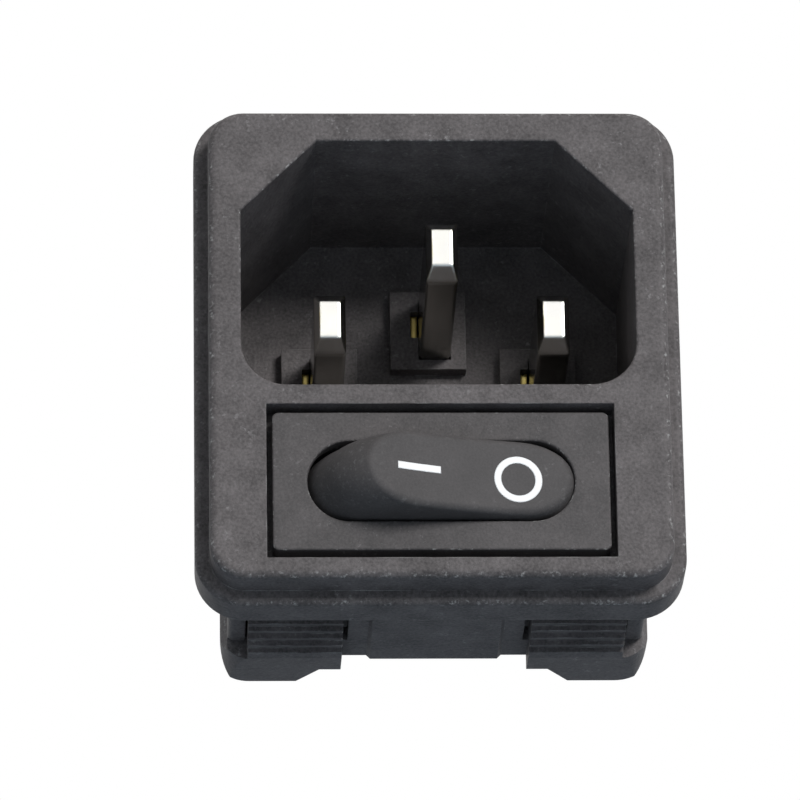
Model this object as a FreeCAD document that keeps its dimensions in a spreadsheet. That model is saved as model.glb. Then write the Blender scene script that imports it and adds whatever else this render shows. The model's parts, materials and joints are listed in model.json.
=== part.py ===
import FreeCAD, Part
import math
import os
import re
import Sketcher
from FreeCAD import Placement, Rotation, Vector

# Snap-in appliance inlet with a rocker switch. Front faces -Y, +Z is up, millimetres.
# The origin is the middle of the flange's back face, where it seats on the panel.

doc = FreeCAD.newDocument("inlet_with_switch")

# Driving dimensions
SIZES = [
    ("flange_overhang_side", 2.1, "flange past the barrel, left and right"),
    ("flange_overhang_end", 1.75, "flange past the barrel, top and bottom"),
    ("flange_thickness", 2.8, "rim of the bezel, front to back"),
    ("flange_corner", 3.1, "corner radius of the rim"),
    ("flange_edge", 0.4, "rounding of the rim's front edge"),
    ("rim_width", 0.9, "rim left showing round the raised front"),
    ("plateau_rise", 2.35, "raised front above the rim"),
    ("plateau_edge", 0.5, "rounding of the raised front's edge"),
    ("barrel_depth", 10.8, "walls behind the flange"),
    ("barrel_corner", 0.4, "corner radius of those walls"),
    ("barrel_wall", 0.9, "their thickness"),
    ("top_wall", 1.2, "barrel wall above the cavity"),
    ("bottom_wall", 0.4, "barrel wall below the switch recess"),
    ("land_width", 8.0, "raised middle of the top and bottom walls"),
    ("land_rise", 0.25, "how far it stands proud"),
    ("cavity_width", 24.4, "inlet opening"),
    ("cavity_height", 16.45, "inlet opening"),
    ("cavity_chamfer", 4.75, "cut upper corners of the opening"),
    ("cavity_corner", 2.8, "lower corner radius of the opening"),
    ("cavity_depth", 16.5, "front of the bezel to the cavity's floor"),
    ("cup_wall", 0.8, "cavity's side walls"),
    ("cup_floor", 2.5, "cavity's floor"),
    ("lip_round", 0.15, "rounding of the opening's front edge"),
    ("pin_pitch", 14.0, "between the line and neutral pins"),
    ("earth_rise", 4.0, "earth pin above the other two"),
    ("pin_above_base", 6.2, "line and neutral pins above the opening's lower edge"),
    ("pin_shift", 0.42, "pins right of the opening's middle, as in the photo"),
    ("pin_thickness", 2.0, "pin section, across"),
    ("pin_width", 4.0, "pin section, upright"),
    ("pin_edge", 0.2, "rounding of the pin's long edges"),
    ("tip_length", 1.0, "taper of a pin's tip"),
    ("tip_side", 0.36, "taper of a pin's tip, each side"),
    ("tip_end", 0.8, "taper of a pin's tip, above and below"),
    ("pin_setback", 4.35, "line and neutral tips behind the bezel's front"),
    ("earth_setback", 2.3, "earth tip behind the bezel's front"),
    ("pin_fit", 0.03, "clearance of a pin in the floor"),
    ("boss_width", 4.85, "pads on the cavity's floor"),
    ("boss_height", 5.4, "pads on the cavity's floor"),
    ("boss_rise", 1.0, "pads on the cavity's floor"),
    ("window_left", 1.12, "bay beside the pin, its edge left of the pad's middle"),
    ("window_height", 1.8, "bay beside the pin"),
    ("window_rise", 0.4, "bay's middle above the pin's"),
    ("tang_width", 0.42, "tab's tang in the bay"),
    ("tang_setback", 0.7, "tang's end behind the pad's front"),
    ("pin_web", 1.0, "floor left behind a pin's shoulder"),
    ("tail_diameter", 1.9, "pin's tail through floor and tab"),
    ("stake_diameter", 2.9, "staked head"),
    ("stake_height", 0.5, "staked head"),
    ("tab_width", 4.8, "quick-connect tabs"),
    ("tab_thickness", 0.8, "quick-connect tabs"),
    ("tab_length", 7.4, "upright part of a tab behind the floor"),
    ("tab_foot_right", 2.3, "tab's foot right of its pin"),
    ("tab_foot_left", 3.05, "tab's foot left of its pin"),
    ("tab_bend", 0.5, "inside radius of the tab's bend"),
    ("overcut", 1.0, "how far a cut runs past what it cuts"),
    ("tab_tip", 0.9, "cut corners of a tab's end"),
    ("tab_hole", 1.4, "latch hole of a tab"),
    ("tab_hole_back", 3.2, "latch hole to the tab's end"),
    ("bar_height", 1.32, "wall between inlet and switch recess, on the front"),
    ("recess_width", 21.4, "switch recess in the front"),
    ("recess_height", 10.13, "switch recess in the front"),
    ("ledge_depth", 2.0, "ledge that the switch plate seats on, front to back"),
    ("ledge_gap", 0.13, "switch walls to ledge, each side"),
    ("chamber_roof", 1.0, "wall under the cavity, behind the ledge"),
    ("tongue_inner", 5.85, "snap tongue's inner edge from the middle"),
    ("tongue_width", 5.9, "ribbed width of a lower tongue"),
    ("upper_tongue_width", 3.4, "ribbed width of an upper tongue"),
    ("slot_gap", 0.35, "cuts round a tongue"),
    ("slot_start", 0.35, "flange to the cut across the tongue's free end"),
    ("outer_gap", 0.15, "cut on a tongue's outer side"),
    ("slot_end", 8.1, "flange to the end of the side cuts"),
    ("corner_groove", 0.25, "shallow groove round the barrel's corners beside a tongue"),
    ("rib_first", 2.3, "flange to the first rib"),
    ("rib_pitch", 1.0, "from rib to rib"),
    ("rib_rise", 0.65, "height of the first rib"),
    ("rib_drop", 0.26, "fall from one rib to the foot of the next"),
    ("rib_step", 0.1, "how much higher each rib is than the last"),
    ("catch_rise", 1.15, "height of the last and largest rib"),
    ("catch_flat", 0.95, "flat top of the last rib"),
    ("nose_end", 13.85, "flange to the tongue's outer rear end"),
    ("nose_short", 11.0, "flange to the tongue's inner rear end"),
    ("nose_rise", 0.6, "height of the nose's rear edge"),
    ("nose_corner", 1.85, "rounded outer corner of the nose, across"),
    ("nose_bend", 4.4, "rounded outer corner of the nose, front to back"),
    ("nose_edge", 1.85, "rounding along the nose's outer edge"),
    ("swell_rise", 0.45, "rear corners past the barrel's sides"),
    ("swell_height", 3.4, "height of those corners up the sides"),
    ("web_height", 3.0, "webs inside the barrel's rear lower corners"),
    ("nose_step_in", 1.35, "inner rear end, along the edge"),
    ("nose_step_out", 2.76, "start of the outer rear end, along the edge"),
    ("plate_recess", 0.4, "switch plate behind the bezel's front"),
    ("plate_width", 20.7, "switch plate"),
    ("plate_height", 9.08, "switch plate"),
    ("plate_thickness", 1.5, "switch plate"),
    ("plate_corner", 0.4, "corner radius of the plate"),
    ("plate_edge", 0.12, "rounding of the plate's front edge"),
    ("plate_lift", 0.11, "plate above the recess's middle"),
    ("opening_length", 16.4, "round-ended opening of the plate"),
    ("opening_height", 5.28, "round-ended opening of the plate"),
    ("walls_width", 19.8, "switch walls behind the plate"),
    ("walls_height", 7.9, "switch walls behind the plate"),
    ("side_skin", 0.5, "switch walls at their short ends"),
    ("ear_skin", 1.2, "switch walls beside the rocker"),
    ("frame_behind", 2.05, "switch frame behind the pivot"),
    ("hook_width", 3.0, "snap hooks on the frame's short ends"),
    ("hook_rise", 0.4, "snap hooks on the frame's short ends"),
    ("hook_length", 2.4, "snap hooks on the frame's short ends"),
    ("hook_play", 0.1, "hook to ledge"),
    ("pivot_behind", 4.9, "pivot behind the plate's front"),
    ("off_tilt", 14.5, "rocker's tilt at rest, in degrees"),
    ("rocker_radius", 9.07, "rocker's ends about its pivot"),
    ("rocker_thickness", 4.9, "rocker across"),
    ("face_height", 6.35, "pivot to the middle of the rocker's face"),
    ("face_curve", 22.7, "radius of the hollow face"),
    ("face_edge", 0.45, "rounding round the rocker's face"),
    ("rocker_play", 0.28, "rocker's ends to the plate's relief"),
    ("skirt_depth", 1.57, "pivot line to the rocker's outer lower corners"),
    ("rocker_wall", 0.9, "rocker's skin"),
    ("boss_half", 1.9, "plunger boss of the rocker, half its width"),
    ("boss_behind", 1.4, "plunger boss behind the pivot"),
    ("trunnion_diameter", 2.0, "rocker's pivots"),
    ("trunnion_length", 0.8, "rocker's pivots"),
    ("trunnion_fit", 0.03, "pivots' radial clearance"),
    ("bore_diameter", 2.1, "plunger's bore"),
    ("bore_depth", 5.0, "pivot to the bore's end"),
    ("plunger_diameter", 1.9, "plunger"),
    ("plunger_reach", 4.9, "pivot to the plunger's tip"),
    ("plunger_top", 1.4, "pivot to the plunger's inner end"),
    ("spigot_diameter", 0.95, "plunger's spigot in the spring"),
    ("spigot_length", 0.7, "plunger's spigot in the spring"),
    ("spring_mean", 0.8, "spring's mean radius"),
    ("spring_wire", 0.22, "spring's wire"),
    ("spring_turns", 6.0, "spring's turns"),
    ("spring_play", 0.02, "spring's ends to the bore and the plunger"),
    ("base_depth", 8.0, "switch base, front to back"),
    ("base_floor", 1.2, "its floor"),
    ("base_skin", 1.0, "its walls"),
    ("post_width", 1.8, "posts that close the pivots' slots"),
    ("post_play", 0.06, "posts to slots"),
    ("post_short", 0.06, "posts' ends to pivots"),
    ("lever_gap", 0.08, "plunger to lever as it passes the middle"),
    ("lever_thickness", 0.5, "contact lever"),
    ("lever_width", 4.0, "contact lever"),
    ("lever_left", 3.8, "lever left of the pivot"),
    ("lever_right", 7.4, "lever right of the pivot"),
    ("cheek_length", 2.6, "lever's cheeks, each way"),
    ("cheek_depth", 1.5, "lever's cheeks"),
    ("cheek_slant", 0.4, "lever's cheeks, slant of their ends"),
    ("notch_depth", 0.9, "notch in the cheeks"),
    ("lever_tilt", 10.0, "lever's tilt at rest, in degrees"),
    ("knife_gap", 0.05, "knife edge to notch"),
    ("knife_half", 0.4, "half thickness of the common blade"),
    ("knife_slope", 0.7, "length of the knife's bevel"),
    ("blade_end", 16.6, "pivot to the switch tabs' ends"),
    ("contact_at", 6.2, "contacts right of the pivot"),
    ("contact_gap", 0.05, "contacts apart when closed"),
    ("contact_diameter", 2.4, "contact rivets"),
    ("contact_height", 0.45, "contact rivets"),
    ("contact_flat", 0.72, "contact rivets, radius of the flat"),
    ("shank_diameter", 1.3, "contact rivets"),
    ("upset_diameter", 1.95, "contact rivets, closed end"),
    ("upset_top", 1.56, "contact rivets, closed end's far side"),
    ("upset_height", 0.25, "contact rivets, closed end"),
    ("shelf_left", 4.7, "fixed contact's shelf"),
    ("shelf_right", 8.0, "fixed contact's shelf"),
    ("terminal_fit", 0.05, "terminals in the base's floor"),
]

sheet = doc.addObject("Spreadsheet::Sheet", "Sizes")
for row, (alias, size, note) in enumerate(SIZES, start=1):
    sheet.set(f"A{row}", note)
    sheet.set(f"B{row}", str(size))
    sheet.setAlias(f"B{row}", alias)
doc.recompute()
ALIASES = {alias for alias, size, note in SIZES}


def bound(text):
    """Names the sheet in front of each of its aliases, for setExpression."""
    return re.sub(r"[a-z_]+", lambda m: "Sizes." + m.group() if m.group() in ALIASES else m.group(), text)


def value(text):
    """The present value of an expression of sizes."""
    return float(sheet.evalExpression(bound(text)))


# Derived places
BARREL_WIDTH = "(cavity_width + 2 * cup_wall)"
BARREL_HEIGHT = "(top_wall + cavity_height + bar_height + recess_height + bottom_wall)"
FLANGE_WIDTH = f"({BARREL_WIDTH} + 2 * flange_overhang_side)"
FLANGE_HEIGHT = f"({BARREL_HEIGHT} + 2 * flange_overhang_end)"
BARREL_TOP = f"({BARREL_HEIGHT} / 2)"
FRONT = "(flange_thickness + plateau_rise)"
CAVITY_TOP = f"({BARREL_TOP} - top_wall)"
CAVITY_BASE = f"({CAVITY_TOP} - cavity_height)"
FLOOR_FRONT = f"(cavity_depth - {FRONT})"
FLOOR_BACK = f"({FLOOR_FRONT} + cup_floor)"
PIN_HEIGHT = f"({CAVITY_BASE} + pin_above_base)"
RECESS_TOP = f"({CAVITY_BASE} - bar_height)"
RECESS_MIDDLE = f"({RECESS_TOP} - recess_height / 2)"
SWITCH_HEIGHT = f"({RECESS_MIDDLE} + plate_lift)"
PLATE_BACK = f"({FRONT} - plate_recess - plate_thickness)"
LEDGE_BACK = f"({PLATE_BACK} - ledge_depth)"
PIVOT_Y = f"(pivot_behind - {FRONT} + plate_recess)"
INNER_X = f"({BARREL_WIDTH} / 2 - barrel_wall)"
INNER_Z = f"({BARREL_TOP} - barrel_wall)"
CHAMBER_ROOF = f"({CAVITY_BASE} - chamber_roof)"
LEVER_FRONT = "(plunger_reach + lever_gap)"
LEVER_BACK = f"({LEVER_FRONT} + lever_thickness)"
NOTCH_APEX = f"({LEVER_FRONT} + cheek_depth - notch_depth)"
FRAME_BACK = "frame_behind"
BASE_BACK = "(frame_behind + base_depth)"


def origin_plane(body, role):
    return [plane for plane in body.Origin.OriginFeatures if plane.Role == role][0]


def make_body(name):
    body = doc.addObject("PartDesign::Body", name)
    body.Label = name
    return body


def make_sketch(body, name, plane, offset="0"):
    """An empty sketch on one of the body's own planes, moved along its normal."""
    sketch = body.newObject("Sketcher::SketchObject", name)
    sketch.AttachmentSupport = (origin_plane(body, plane), [""])
    sketch.MapMode = "FlatFace"
    sketch.setExpression("AttachmentOffset.Base.z", bound(offset))
    return sketch


def fix_point(sketch, geometry, point, place):
    """Ties a point of the sketch to a pair of size expressions. None leaves that way free."""
    for kind, text in zip(("DistanceX", "DistanceY"), place):
        if text is None:
            continue
        index = sketch.addConstraint(Sketcher.Constraint(kind, -1, 1, geometry, point, value(text)))
        sketch.setExpression(f"Constraints[{index}]", bound(text))


def outline(sketch, corners):
    """Adds a closed outline of straight lines to the sketch."""
    first = sketch.GeometryCount
    count = len(corners)
    spots = [Vector(value(across), value(up), 0) for across, up in corners]
    for index in range(count):
        sketch.addGeometry(Part.LineSegment(spots[index], spots[(index + 1) % count]), False)
    for index, place in enumerate(corners):
        following = first + (index + 1) % count
        sketch.addConstraint(Sketcher.Constraint("Coincident", first + index, 2, following, 1))
        fix_point(sketch, first + index, 1, place)
    return sketch


def rectangle(sketch, left, right, low, high):
    return outline(sketch, [(left, low), (right, low), (right, high), (left, high)])


def centred(sketch, width, height, across="0", up="0"):
    """A rectangle about a middle point."""
    return rectangle(
        sketch,
        f"{across} - {width} / 2",
        f"{across} + {width} / 2",
        f"{up} - {height} / 2",
        f"{up} + {height} / 2",
    )


QUARTER = math.pi / 2


def rounded(sketch, width, height, radius):
    """A rectangle about the sketch's origin with rounded corners."""
    far = f"({width} / 2 - {radius})"
    tall = f"({height} / 2 - {radius})"
    size = value(radius)
    signs = [("", ""), ("-", ""), ("-", "-"), ("", "-")]
    arcs = []
    for turn, (side, above) in enumerate(signs):
        middle = Vector(value(side + far), value(above + tall), 0)
        arc = Part.ArcOfCircle(Part.Circle(middle, Vector(0, 0, 1), size), turn * QUARTER, (turn + 1) * QUARTER)
        arcs.append(sketch.addGeometry(arc, False))
    lines = []
    for index, arc in enumerate(arcs):
        start = sketch.Geometry[arc].EndPoint
        end = sketch.Geometry[arcs[(index + 1) % 4]].StartPoint
        lines.append(sketch.addGeometry(Part.LineSegment(start, end), False))
    for index, (side, above) in enumerate(signs):
        fix_point(sketch, arcs[index], 3, (side + far, above + tall))
        bend = sketch.addConstraint(Sketcher.Constraint("Radius", arcs[index], size))
        sketch.setExpression(f"Constraints[{bend}]", bound(radius))
        sketch.addConstraint(Sketcher.Constraint("Tangent", arcs[index], 2, lines[index], 1))
        sketch.addConstraint(Sketcher.Constraint("Tangent", lines[index], 2, arcs[(index + 1) % 4], 1))
    return sketch


def circle(sketch, diameter, across="0", up="0"):
    middle = Vector(value(across), value(up), 0)
    index = sketch.addGeometry(Part.Circle(middle, Vector(0, 0, 1), value(diameter) / 2), False)
    fix_point(sketch, index, 3, (across, up))
    size = sketch.addConstraint(Sketcher.Constraint("Diameter", index, value(diameter)))
    sketch.setExpression(f"Constraints[{size}]", bound(diameter))
    return sketch


def round_ended(sketch, length, height):
    """A slot outline with half-round ends, centred on the sketch's origin."""
    half = value(length) / 2 - value(height) / 2
    radius = value(height) / 2
    up = Vector(0, 0, 1)
    right = Part.ArcOfCircle(Part.Circle(Vector(half, 0, 0), up, radius), -QUARTER, QUARTER)
    left = Part.ArcOfCircle(Part.Circle(Vector(-half, 0, 0), up, radius), QUARTER, 3 * QUARTER)
    a = sketch.addGeometry(right, False)
    b = sketch.addGeometry(left, False)
    top = sketch.addGeometry(Part.LineSegment(Vector(half, radius, 0), Vector(-half, radius, 0)), False)
    low = sketch.addGeometry(Part.LineSegment(Vector(-half, -radius, 0), Vector(half, -radius, 0)), False)
    for one, end, other, start in ((a, 2, top, 1), (top, 2, b, 1), (b, 2, low, 1), (low, 2, a, 1)):
        sketch.addConstraint(Sketcher.Constraint("Tangent", one, end, other, start))
    fix_point(sketch, a, 3, (f"({length} - {height}) / 2", "0"))
    fix_point(sketch, b, 3, (f"-({length} - {height}) / 2", "0"))
    size = sketch.addConstraint(Sketcher.Constraint("Radius", a, radius))
    sketch.setExpression(f"Constraints[{size}]", bound(f"{height} / 2"))
    return sketch


def feature(body, kind, name, sketch, length=None, reverse=False, both_ways=False):
    """A pad or pocket of the sketch. Without a length it cuts through everything."""
    made = body.newObject(kind, name)
    made.Profile = sketch
    sketch.Visibility = False
    made.Reversed = reverse
    if length is None:
        made.Type = "ThroughAll"
    else:
        made.setExpression("Length", bound(length))
    if both_ways:
        made.Midplane = True
    return made


def pad(body, name, sketch, length, reverse=False, both_ways=False):
    return feature(body, "PartDesign::Pad", name, sketch, length, reverse, both_ways)


def pocket(body, name, sketch, length=None, reverse=False, both_ways=False):
    return feature(body, "PartDesign::Pocket", name, sketch, length, reverse, both_ways)


def pick_edges(shape, wanted):
    return [f"Edge{index}" for index, edge in enumerate(shape.Edges, start=1) if wanted(edge)]


SLACK = 0.02


def near(a, b):
    return abs(a - b) < SLACK


def runs_along(edge, axis):
    """Whether the edge is a straight line along axis 0, 1 or 2."""
    if edge.Curve.TypeId != "Part::GeomLine":
        return False
    way = edge.tangentAt(edge.FirstParameter)
    return near(abs((way.x, way.y, way.z)[axis]), 1.0)


def lies_at_y(edge, place):
    box = edge.BoundBox
    return near(box.YMin, place) and near(box.YMax, place)


def ease(body, kind, name, wanted, size):
    """A fillet or chamfer on the tip's edges that pass the test."""
    doc.recompute()
    tip = body.Tip
    edges = pick_edges(tip.Shape, wanted)
    if not edges:
        raise RuntimeError(f"{name}: no edge found")
    made = body.newObject(kind, name)
    made.Base = (tip, edges)
    made.setExpression("Radius" if kind.endswith("Fillet") else "Size", bound(size))
    doc.recompute()
    return made


def fillet(body, name, wanted, radius):
    return ease(body, "PartDesign::Fillet", name, wanted, radius)


def chamfer(body, name, wanted, size):
    return ease(body, "PartDesign::Chamfer", name, wanted, size)


def mirror(body, name, plane, originals):
    """Repeats features on the other side of one of the body's planes."""
    made = body.newObject("PartDesign::Mirrored", name)
    made.Originals = originals
    made.MirrorPlane = (origin_plane(body, plane), [""])
    body.Tip = made
    return made


def revolve(body, name, sketch, axis, kind="PartDesign::Revolution"):
    made = body.newObject(kind, name)
    made.Profile = sketch
    made.ReferenceAxis = (sketch, [axis])
    made.Angle = 360
    sketch.Visibility = False
    return made


def place(body, across, along, up, turn="0"):
    """Moves a finished body to its place and turns it about the upright axis."""
    body.Placement = Placement(Vector(0, 0, 0), Rotation(Vector(0, 0, 1), 1))
    for part, text in (("Base.x", across), ("Base.y", along), ("Base.z", up), ("Rotation.Angle", turn)):
        body.setExpression("Placement." + part, bound(text))


# Housing


def bezel(body):
    """Rim and raised front."""
    sketch = make_sketch(body, "rim_outline", "XZ_Plane")
    pad(body, "rim", rounded(sketch, FLANGE_WIDTH, FLANGE_HEIGHT, "flange_corner"), "flange_thickness")
    rim_front = -value("flange_thickness")
    fillet(body, "rim_front_edge", lambda e: lies_at_y(e, rim_front), "flange_edge")
    sketch = make_sketch(body, "raised_outline", "XZ_Plane", "flange_thickness")
    across = f"({FLANGE_WIDTH} - 2 * rim_width)"
    rounded(sketch, across, f"({FLANGE_HEIGHT} - 2 * rim_width)", "(flange_corner - rim_width)")
    pad(body, "raised_front", sketch, "plateau_rise")
    front = -value(FRONT)
    fillet(body, "raised_front_edge", lambda e: lies_at_y(e, front), "plateau_edge")


def barrel(body):
    """Walls behind the flange, with the raised lands in the middle of the top and bottom."""
    sketch = rounded(make_sketch(body, "barrel_outline", "XZ_Plane"), BARREL_WIDTH, BARREL_HEIGHT, "barrel_corner")
    pad(body, "barrel", sketch, "barrel_depth", reverse=True)
    sketch = make_sketch(body, "land_outline", "XZ_Plane")
    for side in ("", "-"):
        base = f"{side}{BARREL_TOP}"
        crest = f"{side}({BARREL_TOP} + land_rise)"
        outline(
            sketch,
            [
                ("-land_width / 2 - land_rise", base),
                ("land_width / 2 + land_rise", base),
                ("land_width / 2", crest),
                ("-land_width / 2", crest),
            ],
        )
    pad(body, "lands", sketch, "barrel_depth", reverse=True)


def cavity_corners(grow):
    """Corners of the inlet's outline, larger all round by the given wall."""
    side = f"(cavity_width / 2 + {grow})"
    top = f"({CAVITY_TOP} + {grow})"
    base = f"({CAVITY_BASE} - {grow})"
    cut = f"(cavity_chamfer + (2 - sqrt(2)) * {grow})"
    return [
        (f"-{side}", base),
        (side, base),
        (side, f"{top} - {cut}"),
        (f"{side} - {cut}", top),
        (f"-{side} + {cut}", top),
        (f"-{side}", f"{top} - {cut}"),
    ]


def hollows(body):
    """Hollows the barrel round the inlet's cup, then the chamber behind the switch's ledge."""
    sketch = make_sketch(body, "cup_outline", "XZ_Plane")
    outline(sketch, cavity_corners("cup_wall"))
    pad(body, "cup", sketch, FLOOR_BACK, reverse=True)

    reach = f"({INNER_X} + {CAVITY_TOP} + sqrt(2) * cup_wall - cavity_chamfer + barrel_wall)"
    sketch = make_sketch(body, "corner_hollow_outline", "XZ_Plane", "-slot_start")
    outline(
        sketch,
        [(INNER_X, f"{reach} - {INNER_X}"), (INNER_X, INNER_Z), (f"{reach} - {INNER_Z}", INNER_Z)],
    )
    right = pocket(body, "corner_hollow", sketch, None)
    mirror(body, "corner_hollows", "YZ_Plane", [right])

    sketch = make_sketch(body, "cavity_outline", "XZ_Plane", FRONT)
    outline(sketch, cavity_corners("0"))
    pocket(body, "cavity", sketch, "cavity_depth")
    base = value(CAVITY_BASE)
    half = value("cavity_width / 2")
    front = -value(FRONT)

    def lower_corner(edge):
        spot = edge.CenterOfMass
        return runs_along(edge, 1) and near(spot.z, base) and near(abs(spot.x), half)

    fillet(body, "cavity_lower_corners", lower_corner, "cavity_corner")

    def front_lip(edge):
        box = edge.BoundBox
        within = box.ZMin > base - SLACK and box.ZMax < value(CAVITY_TOP) + SLACK
        return lies_at_y(edge, front) and within and box.XMin > -half - SLACK and box.XMax < half + SLACK

    fillet(body, "cavity_lip", front_lip, "lip_round")

    sketch = make_sketch(body, "recess_outline", "XZ_Plane", FRONT)
    centred(sketch, "recess_width", "recess_height", "0", RECESS_MIDDLE)
    pocket(body, "switch_recess", sketch, "plate_recess + plate_thickness")
    sketch = make_sketch(body, "ledge_outline", "XZ_Plane", FRONT)
    centred(sketch, "(walls_width + 2 * ledge_gap)", "(walls_height + 2 * ledge_gap)", "0", SWITCH_HEIGHT)
    pocket(body, "ledge_opening", sketch, None)
    sketch = make_sketch(body, "chamber_outline", "XZ_Plane", LEDGE_BACK)
    rectangle(sketch, f"-{INNER_X}", INNER_X, f"-{INNER_Z}", CHAMBER_ROOF)
    pocket(body, "switch_chamber", sketch, None)
    sketch = make_sketch(body, "web_outline", "XZ_Plane", "-barrel_depth")
    web_left = "(tongue_inner + tongue_width - barrel_wall / 2)"
    web_right = f"{INNER_X} + barrel_wall / 2"
    rectangle(sketch, web_left, web_right, f"-{INNER_Z} - barrel_wall / 2", f"-{INNER_Z} + web_height")
    web = pad(body, "web", sketch, "barrel_wall")
    mirror(body, "webs", "YZ_Plane", [web])


def floor_details(body):
    """Pads on the cavity's floor, with the pins' slots and tail holes and the bays for the tabs' tangs."""
    spots = [("-pin_pitch / 2", PIN_HEIGHT), ("pin_pitch / 2", PIN_HEIGHT), ("0", f"{PIN_HEIGHT} + earth_rise")]
    sketch = make_sketch(body, "pads_outline", "XZ_Plane", f"-{FLOOR_FRONT}")
    for across, up in spots:
        centred(sketch, "boss_width", "boss_height", across, up)
    pad(body, "floor_pads", sketch, "boss_rise")
    sketch = make_sketch(body, "pin_slots_outline", "XZ_Plane", f"-{FLOOR_FRONT} + boss_rise")
    for across, up in spots:
        centred(sketch, "(pin_thickness + 2 * pin_fit)", "(pin_width + 2 * pin_fit)", f"{across} + pin_shift", up)
    pocket(body, "pin_slots", sketch, "boss_rise + cup_floor - pin_web")
    sketch = make_sketch(body, "tail_holes_outline", "XZ_Plane", f"-{FLOOR_FRONT}")
    for across, up in spots:
        circle(sketch, "tail_diameter + 2 * pin_fit", f"{across} + pin_shift", up)
    pocket(body, "tail_holes", sketch, "2 * cup_floor")
    sketch = make_sketch(body, "bays_outline", "XZ_Plane", f"-{FLOOR_FRONT} + boss_rise")
    for across, up in spots:
        middle = f"({up} + window_rise)"
        rectangle(
            sketch,
            f"{across} - window_left",
            f"{across} + pin_shift - pin_thickness / 2",
            f"{middle} - window_height / 2",
            f"{middle} + window_height / 2",
        )
    pocket(body, "bays", sketch, "2 * cup_floor + boss_rise")


RIB_COUNT = 5

# Chords that draw a rounded corner
CHORDS = 12


def quarter(across, wide, up, tall):
    """Points along a quarter of an ellipse, from its right end to its top."""
    turns = [90 * step / CHORDS for step in range(CHORDS + 1)]
    return [(f"({across}) + {wide} * cos({turn}deg)", f"({up}) + {tall} * sin({turn}deg)") for turn in turns]


def tongue_profile(side):
    """Side view of a snap tongue's ribs and nose, as (along Y, up Z). side is '' above, '-' below."""
    level = f"{BARREL_TOP}"
    points = [("rib_first", f"{side}({level} - land_rise / 2)")]
    for index in range(RIB_COUNT):
        start = f"rib_first + {index} * rib_pitch"
        crest = f"rib_rise + {index} * rib_step"
        points.append((start, f"{side}({level} + {crest})"))
        points.append((f"{start} + rib_pitch", f"{side}({level} + {crest} - rib_drop)"))
    catch = f"rib_first + {RIB_COUNT} * rib_pitch"
    points.append((catch, f"{side}({level} + catch_rise)"))
    points.append((f"{catch} + catch_flat", f"{side}({level} + catch_rise)"))
    points.append(("nose_end", f"{side}({level} + nose_rise)"))
    points.append(("nose_end", f"{side}({level} - barrel_wall / 2)"))
    points.append(("barrel_depth - barrel_wall", f"{side}({level} - barrel_wall)"))
    points.append((catch, f"{side}({level} - barrel_wall)"))
    points.append((catch, f"{side}({level} - land_rise / 2)"))
    return points


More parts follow.
